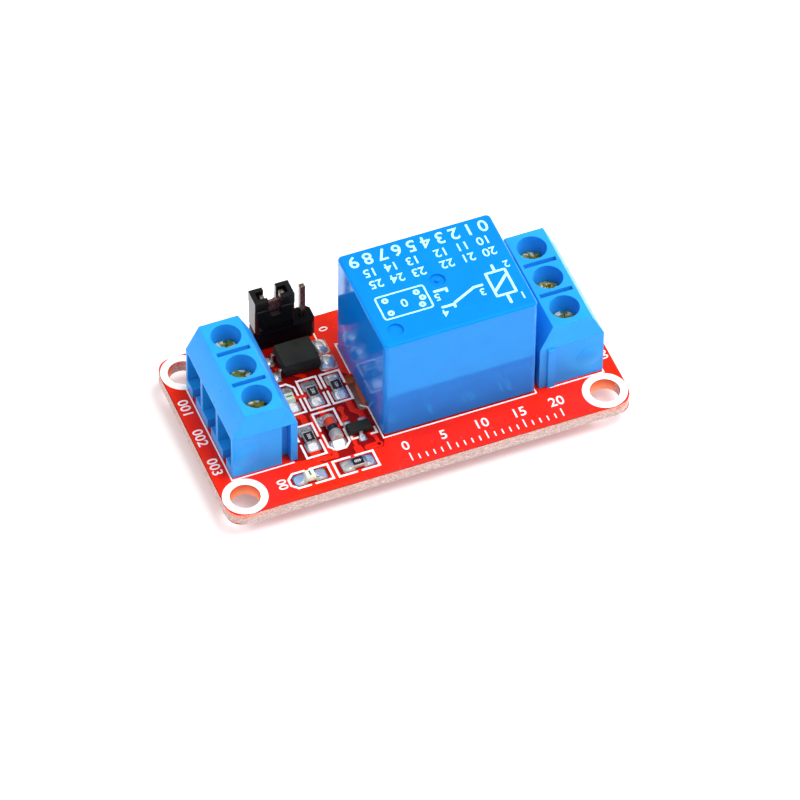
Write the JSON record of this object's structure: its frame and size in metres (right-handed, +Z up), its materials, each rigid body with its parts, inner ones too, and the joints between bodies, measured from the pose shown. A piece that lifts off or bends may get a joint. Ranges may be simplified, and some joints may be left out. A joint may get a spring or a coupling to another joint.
{
  "type": "relay module board",
  "caption": "Circuit board with a sealed relay, two screw terminal blocks, a pin header with a jumper cap and surface-mounted driver parts.",
  "frame": {"origin": "centre of the four mounting holes on the board's underside", "axes": "+X towards the relay's output terminals along the board, +Y towards the pin header's side, +Z up, square to the board"},
  "size_m": [0.0506, 0.026, 0.0192],
  "materials": {
    "board_laminate": "red solder mask over glass-epoxy laminate, satin",
    "terminal_blue": "sky blue moulded polyamide, satin",
    "terminal_metal": "tinned copper alloy strip",
    "screw_metal": "zinc plated steel",
    "relay_blue": "blue moulded case, glossy",
    "relay_black": "black moulded base and bobbin",
    "copper_winding": "enamelled copper winding",
    "iron": "soft iron, nickel plated",
    "contact_brass": "copper alloy strip, tinned pins",
    "header_black": "black moulded header",
    "pin_metal": "tinned square pins",
    "jumper_black": "black moulded cap",
    "clip_metal": "phosphor bronze clip",
    "epoxy_black": "black moulded epoxy",
    "lead_metal": "tinned leads",
    "chip_black": "black glazed resistor with tinned ends",
    "led_white": "milky lens on a white carrier",
    "diode_glass": "orange glass tube with tinned caps",
    "solder": "bright tin solder"
  },
  "bodies": {
    "board_assembly": {"board": "board_laminate", "relay_case": "relay_blue", "relay_base": "relay_black", "relay_bobbin": "relay_black", "relay_coil": "copper_winding", "relay_core": "iron", "relay_yoke": "iron", "relay_coil_pins": "contact_brass", "relay_common_strip": "contact_brass", "relay_open_contact": "contact_brass", "relay_closed_contact": "contact_brass", "header_base": "header_black", "header_pin_1": "pin_metal", "header_pin_2": "pin_metal", "header_pin_3": "pin_metal", "optocoupler_body": "epoxy_black", "optocoupler_leads": "lead_metal", "transistor_body": "epoxy_black", "transistor_leads": "lead_metal", "resistor_1": "chip_black", "resistor_2": "chip_black", "resistor_3": "chip_black", "resistor_4": "chip_black", "relay_led": "led_white", "power_led": "led_white", "diode": "diode_glass", "terminal_solder": "solder", "relay_solder": "solder", "header_solder": "solder", "smd_solder": "solder", "input_terminal_housing": "terminal_blue", "input_contact_1": "terminal_metal", "input_contact_2": "terminal_metal", "input_contact_3": "terminal_metal", "output_terminal_housing": "terminal_blue", "output_contact_1": "terminal_metal", "output_contact_2": "terminal_metal", "output_contact_3": "terminal_metal"},
    "input_guard_1_body": {"input_wire_guard_1": "terminal_metal"},
    "input_screw_1_body": {"input_screw_1": "screw_metal"},
    "input_guard_2_body": {"input_wire_guard_2": "terminal_metal"},
    "input_screw_2_body": {"input_screw_2": "screw_metal"},
    "input_guard_3_body": {"input_wire_guard_3": "terminal_metal"},
    "input_screw_3_body": {"input_screw_3": "screw_metal"},
    "output_guard_1_body": {"output_wire_guard_1": "terminal_metal"},
    "output_screw_1_body": {"output_screw_1": "screw_metal"},
    "output_guard_2_body": {"output_wire_guard_2": "terminal_metal"},
    "output_screw_2_body": {"output_screw_2": "screw_metal"},
    "output_guard_3_body": {"output_wire_guard_3": "terminal_metal"},
    "output_screw_3_body": {"output_screw_3": "screw_metal"},
    "jumper": {"jumper_cap": "jumper_black", "jumper_clip": "clip_metal"},
    "armature": {"relay_armature": "iron", "relay_moving_contact": "contact_brass"}
  },
  "joints": [
    {"name": "input_guard_1_slide", "type": "slide", "parent": "board_assembly", "child": "input_guard_1_body", "axis": [0, 0, 1], "range_m": [-0.00045, 0.00158]},
    {"name": "input_screw_1_turn", "type": "hinge", "parent": "input_guard_1_body", "child": "input_screw_1_body", "pos_m": [-0.01888, -0.0045, 0.0066], "axis": [0, 0, 1], "range_deg": [-366, 1266]},
    {"name": "input_guard_2_slide", "type": "slide", "parent": "board_assembly", "child": "input_guard_2_body", "axis": [0, 0, 1], "range_m": [-0.00045, 0.00158]},
    {"name": "input_screw_2_turn", "type": "hinge", "parent": "input_guard_2_body", "child": "input_screw_2_body", "pos_m": [-0.01888, 0.0005, 0.0066], "axis": [0, 0, 1], "range_deg": [-366, 1266]},
    {"name": "input_guard_3_slide", "type": "slide", "parent": "board_assembly", "child": "input_guard_3_body", "axis": [0, 0, 1], "range_m": [-0.00045, 0.00158]},
    {"name": "input_screw_3_turn", "type": "hinge", "parent": "input_guard_3_body", "child": "input_screw_3_body", "pos_m": [-0.01888, 0.0055, 0.0066], "axis": [0, 0, 1], "range_deg": [-366, 1266]},
    {"name": "output_guard_1_slide", "type": "slide", "parent": "board_assembly", "child": "output_guard_1_body", "axis": [0, 0, 1], "range_m": [-0.00045, 0.00158]},
    {"name": "output_screw_1_turn", "type": "hinge", "parent": "output_guard_1_body", "child": "output_screw_1_body", "pos_m": [0.0195, 0.0055, 0.0066], "axis": [0, 0, 1], "range_deg": [-366, 1266]},
    {"name": "output_guard_2_slide", "type": "slide", "parent": "board_assembly", "child": "output_guard_2_body", "axis": [0, 0, 1], "range_m": [-0.00045, 0.00158]},
    {"name": "output_screw_2_turn", "type": "hinge", "parent": "output_guard_2_body", "child": "output_screw_2_body", "pos_m": [0.0195, 0.0005, 0.0066], "axis": [0, 0, 1], "range_deg": [-366, 1266]},
    {"name": "output_guard_3_slide", "type": "slide", "parent": "board_assembly", "child": "output_guard_3_body", "axis": [0, 0, 1], "range_m": [-0.00045, 0.00158]},
    {"name": "output_screw_3_turn", "type": "hinge", "parent": "output_guard_3_body", "child": "output_screw_3_body", "pos_m": [0.0195, -0.0045, 0.0066], "axis": [0, 0, 1], "range_deg": [-366, 1266]},
    {"name": "jumper_pull", "type": "slide", "parent": "board_assembly", "child": "jumper", "axis": [0, 0, 1], "range_m": [0, 0.009]},
    {"name": "armature_hinge", "type": "hinge", "parent": "board_assembly", "child": "armature", "pos_m": [-0.00175, 0.0001, 0.01308], "axis": [0, 1, 0], "range_deg": [0, 3.5], "stiffness_Nm_per_rad": 0.005, "springref_deg": -5.73}
  ],
  "couplings": [
    {"joint": "input_screw_1_turn", "follows": "input_guard_1_slide", "rad_per_m": 13963},
    {"joint": "input_screw_2_turn", "follows": "input_guard_2_slide", "rad_per_m": 13963},
    {"joint": "input_screw_3_turn", "follows": "input_guard_3_slide", "rad_per_m": 13963},
    {"joint": "output_screw_1_turn", "follows": "output_guard_1_slide", "rad_per_m": 13963},
    {"joint": "output_screw_2_turn", "follows": "output_guard_2_slide", "rad_per_m": 13963},
    {"joint": "output_screw_3_turn", "follows": "output_guard_3_slide", "rad_per_m": 13963}
  ]
}
